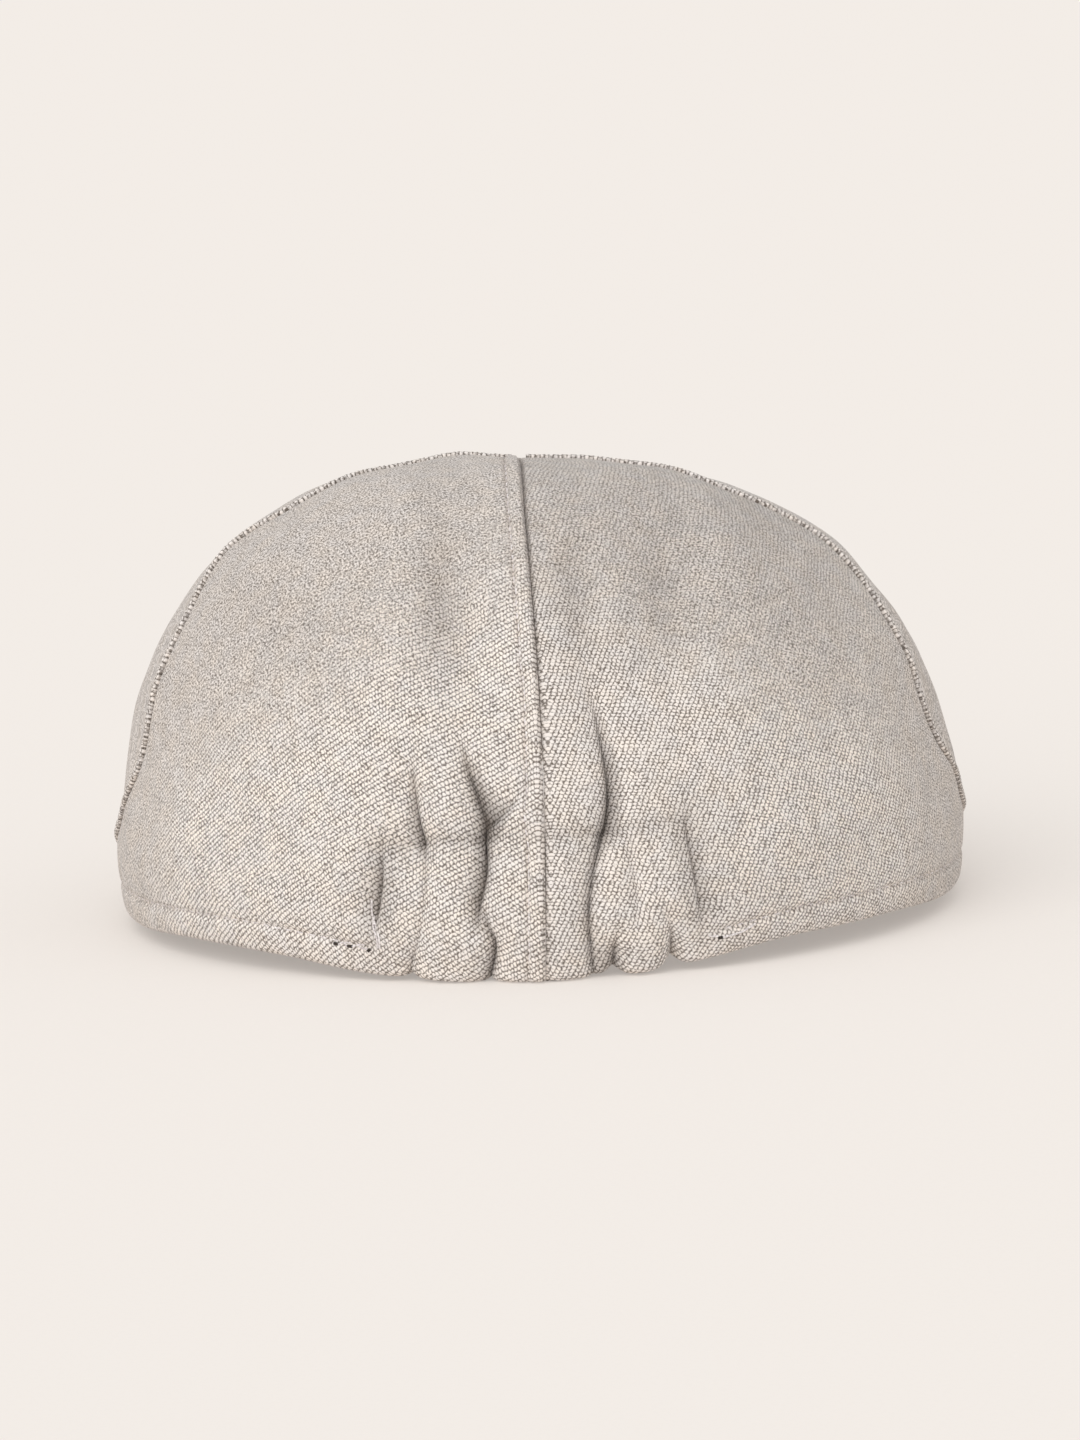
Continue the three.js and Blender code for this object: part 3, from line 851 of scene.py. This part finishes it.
def top_panel(material):
    rows = steps((1.6, 0.4), (12, 0.8), (BACK_RUN, 1.5)) / BACK_RUN
    columns = steps((0.012, 0.0016), (0.988, 0.0041), (1, 0.0016))

    def turn_at(share, up):
        return lerp(seam_turn(up), 4 * QUARTER - seam_turn(up), share)

    up, share = np.meshgrid(profile_ups(rows), columns, indexing="ij")
    outer, inner, facts = cloth_faces(turn_at(share, up), up)
    line = np.concatenate([seam_line(side, np.linspace(0, 1, 360))[0] for side in (-1, 1)])
    side_dip = 0.5 * bell(distance_to(facts["place"], line) / 0.7)
    outer += facts["out"] * (hem_band(facts["above"], 1) - side_dip)[..., None]
    flat = pattern(turn_at, rows, columns, 0.5, from_above=True)
    values = {"painted_shade": 0.0, "crisp": 0.3}
    piece = cloth_piece("top_and_front", outer, inner, flat, values, (0, SEAM_GAP / 2, 0))
    finish_piece(piece, material, ["top_panel"])


def peak_edge_height(along):
    away = np.abs(along)
    end = hem_height(math.radians(PEAK_TURN)) - SEAT_GAP - PEAK_THICKNESS
    lifted = PEAK_LIFT * np.cos(QUARTER * np.minimum(away / PEAK_TOUCH_FROM, 1)) ** 2
    return np.where(away < PEAK_TOUCH_FROM, lifted, end * smoothstep(away, PEAK_TOUCH_TO, 1))


def peak(material):
    """The cloth-covered peak: from a ledge inside the hem, under it, and down to its rounded edge."""
    on_ledge, beyond = [0, 0.5, 1], steps((0.9, 0.035), (0.985, 0.012), (1, 0.004))[1:]
    stations = np.concatenate([on_ledge, 1 + beyond])
    station, along = np.meshgrid(stations, np.linspace(1, -1, 221), indexing="ij")
    turn = 2 * QUARTER - along * (2 * QUARTER - math.radians(PEAK_TURN))
    hem = hem_point(turn)
    ledge = HEM_WALL + PEAK_LEDGE * (1 - along**6)
    root = hem * (1 - ledge / np.hypot(hem[..., 0], hem[..., 1]))[..., None]
    root[..., 2] = hem[..., 2]
    ends = hem_point(np.array(math.radians(PEAK_TURN)))
    edge = np.stack([
        ends[0] * bent(np.sin(QUARTER * along), PEAK_FULLNESS),
        lerp(ends[1], HEM_FRONT + PEAK_REACH, bent(np.cos(QUARTER * along), PEAK_FULLNESS)),
        peak_edge_height(along) + PEAK_THICKNESS + SEAT_GAP,
    ], axis=-1)
    out = np.maximum(station - 1, 0)
    ledge_face = lerp(root, hem, np.minimum(station, 1)[..., None])
    face = np.where((station < 1)[..., None], ledge_face, lerp(hem, edge, out[..., None]))
    bowed = lerp(hem[..., 2], edge[..., 2], lerp(out, out * out, PEAK_BOW))
    face[..., 2] = np.where(out > 0, bowed, face[..., 2])
    face[..., 2] -= SEAT_GAP

    # The edge is half round: both faces close on it.
    radius = PEAK_THICKNESS / 2 - 0.05
    from_edge = lengths(face - face[-1])
    share = np.clip(from_edge / radius, 0, 1)
    drawn = radius * (1 - np.sqrt(1 - (1 - share) ** 2))
    upper, lower = face.copy(), face.copy()
    upper[..., 2] -= drawn
    lower[..., 2] -= PEAK_THICKNESS - drawn
    flat = upright(flatten(upper), 110, 3, len(stations) - 1)
    values = {"painted_shade": 0.0, "crisp": 0.45}
    shift = (0, SEAM_GAP / 2, 0)
    piece = cloth_piece("covered_peak", upper[:, ::-1], lower[:, ::-1], flat[:, ::-1], values, shift)
    finish_piece(piece, material, ["peak"])


def elastic_band(material):
    """The flat elastic behind the gathers, slightly waved between its stitched ends."""
    share, across = np.meshgrid(np.linspace(0, 1, 25), np.linspace(-1, 1, 161), indexing="ij")
    height = HEM_BAND + ELASTIC_CLEARANCE + share * ELASTIC_WIDTH
    up = height / CROWN_HEIGHT / QUARTER
    turn = np.arcsin(across * GATHER_HALF_WIDTH / HEM_HALF_WIDTH)
    place = plain_point(turn, up)
    out, _ = directions(turn, up)
    wave = 0.15 * np.cos(9 * math.pi * across) * (1 - across**2)
    inset = WALL + SEAT_GAP + 0.2 + FOLD_DEPTH * (1 - across**4) - wave
    rim = 0.25 * (1 - np.sqrt(1 - np.clip(1 - 12 * np.minimum(share, 1 - share), 0, 1) ** 2))
    outer = place - out * (inset + rim)[..., None]
    inner = place - out * (inset + ELASTIC_THICKNESS - rim)[..., None]
    run = np.cumsum(lengths(np.diff(outer, axis=1, prepend=outer[:, :1])), axis=1)
    flat = np.stack([run, share * ELASTIC_WIDTH], axis=-1)
    values = {"painted_shade": 0.0, "crisp": 1.0}
    piece = cloth_piece("elastic_tape", outer, inner, flat, values, (0, -SEAM_GAP / 2, 0))
    finish_piece(piece, material, ["elastic_band"])


def seam_ridge(name, side, spacing, slant, material):
    """The folded edge of the top panel along a side seam: a narrow ridge whose twill ribs cross it
    as a row of teeth. Spacing is from one rib to the next, and slant is how far a rib runs along
    the ridge while it crosses it, in millimetres."""
    up = np.linspace(0, 1, 1600)
    line, facts = seam_line(side, up)
    run = np.cumsum(lengths(np.diff(line, axis=0, prepend=line[:1])))
    even = np.arange(0.2, run[-1] - 1.5, spacing / 7)
    up = np.interp(even, run, up)
    line, facts = seam_line(side, up)
    ahead = np.gradient(line, axis=0)
    ahead /= lengths(ahead)[:, None]
    out = facts["out"]
    aside = np.cross(ahead, out) * side  # towards the top panel
    angle = np.linspace(-0.15, 1.15, 13) * math.pi
    offset = -np.cos(angle) * RIDGE_WIDTH / 2
    tooth = np.abs(np.sin(math.pi * (even[:, None] + slant * offset[None] / RIDGE_WIDTH) / spacing)) ** 0.6
    size = 0.78 + 0.28 * tooth
    centre = line + aside * 0.45 + out * 0.05
    ring = centre[:, None] + aside[:, None] * (offset[None] * size)[..., None]
    ring += out[:, None] * (RIDGE_HEIGHT * np.sin(angle)[None] * size)[..., None]
    under = centre[:, None] + aside[:, None] * (0.7 * offset[None])[..., None] - out[:, None] * 0.3
    flat = np.stack(np.broadcast_arrays(even[:, None], (offset * 1.4)[None]), axis=-1)
    order = slice(None) if side > 0 else slice(None, None, -1)
    # Painted shade in the gaps between the teeth.
    values = {"painted_shade": 0.5 * (1 - tooth[:, order]), "crisp": 1.0}
    piece = cloth_piece(name, ring[:, order], under[:, order], flat[:, order], values)
    finish_piece(piece, material)


def on_cloth(panel, spots, proud):
    """Points on a panel's outer face, each given by its place right of the middle and its height."""
    points, out = panel[0].reshape(-1, 3), panel[1].reshape(-1, 3)
    nearest = [np.hypot(points[:, 0] - across, points[:, 2] - height).argmin() for across, height in spots]
    return points[nearest] + out[nearest] * proud


def stitches(line, out, pitch, length, proud, sink=0.2):
    """A row of stitches along a line: each is a low arch, with a gap to the next."""
    run = np.cumsum(lengths(np.diff(line, axis=0, prepend=line[:1])))
    paths = []
    for start in np.arange(pitch / 2, run[-1] - length, pitch):
        share = np.linspace(0, 1, 6)
        at = start + length * share
        point = np.stack([np.interp(at, run, line[:, k]) for k in range(3)], axis=-1)
        away = np.stack([np.interp(at, run, out[:, k]) for k in range(3)], axis=-1)
        paths.append(point + away * ((proud + sink) * np.sin(math.pi * share) - sink)[:, None])
    return paths


def sewing(left, right, material, dark):
    """Rows of stitches: along the hem, down the welt's edge, and the threads that end beside the casing,
    where dark pieces paint the shade inside the needle holes."""
    rows = []
    for outer, out, above, _ in (left, right):
        band = np.abs(above - HEM_BAND).argmin(axis=0)
        columns = np.arange(outer.shape[1])
        line, away = outer[band, columns], out[band, columns]
        loose = np.abs(line[:, 0]) > GATHER_HALF_WIDTH + 2
        rows += stitches(line[loose], away[loose], *HEM_STITCHES, proud=0.1)
    outer, out, _, from_seam = left
    edge = np.abs(from_seam - WELT_WIDTH).argmin(axis=1)
    levels = np.arange(8, int(0.9 * len(edge)))
    rows += stitches(outer[levels, edge[levels]], out[levels, edge[levels]], *WELT_STITCHES, proud=0.12)
    finish_piece(tube_piece("topstitching", rows, THREAD_RADIUS), material)

    panels = (left, right)
    ends = [smooth_path(on_cloth(panels[panel], spots, 0.2)) for panel, spots in THREAD_ENDS]
    finish_piece(tube_piece("thread_ends", ends, LOOSE_THREAD_RADIUS), material)
    # Dark pieces paint the shade inside the needle holes.
    holes = [
        on_cloth(panels[panel], [(across, height), (across + NEEDLE_HOLE_RADIUS, height)], 0.05)
        for panel, (across, height) in NEEDLE_HOLES
    ]
    finish_piece(tube_piece("needle_hole_painted_shade", holes, NEEDLE_HOLE_RADIUS), dark)


def world_and_lights():
    """A broad soft light from the left, above and behind the camera, in a pale room."""
    scene = bpy.context.scene
    scene.view_settings.view_transform = "Standard"
    world = bpy.data.worlds.new("soft_studio")
    scene.world = world
    world.use_nodes = True
    sky = world.node_tree.nodes["Background"]
    sky.inputs["Color"].default_value = colour("#ffffff")
    sky.inputs["Strength"].default_value = 0.77

    key = bpy.data.lights.new("key", "SUN")
    key.energy = 1.3
    key.angle = math.radians(60)
    lamp = bpy.data.objects.new("key", key)
    bpy.context.collection.objects.link(lamp)
    lamp.rotation_euler = Vector((0.4, 0.77, -0.6)).to_track_quat("-Z", "Y").to_euler()


def floor():
    """Paper on a light table, lit from below as well, so that shadows stay faint."""
    clear_selection()
    bpy.ops.mesh.primitive_plane_add(size=60, location=(0, 0, -0.0002))
    ground = bpy.context.object
    ground.name = "floor"
    material, tree, shader = new_material("studio_paper", 1)
    place = add(tree, "TexCoord", take="Object")
    grain = add(tree, "TexNoise", place, sockets={"Scale": 0.9 / MM, "Detail": 2.0}, take="Fac")
    tone = add(tree, "ValToRGB", grain, stops=[(0.2, "#c6c1bc"), (0.8, "#c8c3be")])
    tree.links.new(tone, shader.inputs["Base Color"])
    shader.inputs["Emission Color"].default_value = colour("#f3ece6")
    shader.inputs["Emission Strength"].default_value = 0.36
    shader.inputs["Specular IOR Level"].default_value = 0
    ground.data.materials.append(material)


def camera():
    """Behind the cap and a little above it, held slightly aslant."""
    target = Vector((0.9, 0, 37.1)) * MM
    distance = 1.6  # m
    elevation, roll = math.radians(8.5), math.radians(2.2)
    forward = Vector((0, math.cos(elevation), -math.sin(elevation)))
    right, above = Vector((1, 0, 0)), Vector((0, math.sin(elevation), math.cos(elevation)))
    aslant = right * math.cos(roll) - above * math.sin(roll)
    upward = right * math.sin(roll) + above * math.cos(roll)
    data = bpy.data.cameras.new("camera")
    data.sensor_fit = "HORIZONTAL"
    data.sensor_width = 36
    data.lens = 235.8
    data.clip_end = 100
    view = bpy.data.objects.new("camera", data)
    bpy.context.collection.objects.link(view)
    axes = Matrix((aslant, upward, -forward)).transposed().to_4x4()
    view.matrix_world = Matrix.Translation(target - forward * distance) @ axes
    bpy.context.scene.camera = view


camera()
world_and_lights()
floor()
left = back_panel(-1, wool_twill("wool_twill_left", 27))
right = back_panel(1, wool_twill("wool_twill_right", 67))
sewing(left, right, wool_thread(), needle_hole())
top_panel(wool_twill("wool_twill_top", 45))
peak(wool_twill("wool_twill_peak", 45))
elastic_band(elastic_tape())
seam_cloth = wool_twill("wool_twill_seam", 90)
seam_ridge("side_seam_left", -1, 1.3, 0.5, seam_cloth)
seam_ridge("side_seam_right", 1, 2.0, 2.2, seam_cloth)
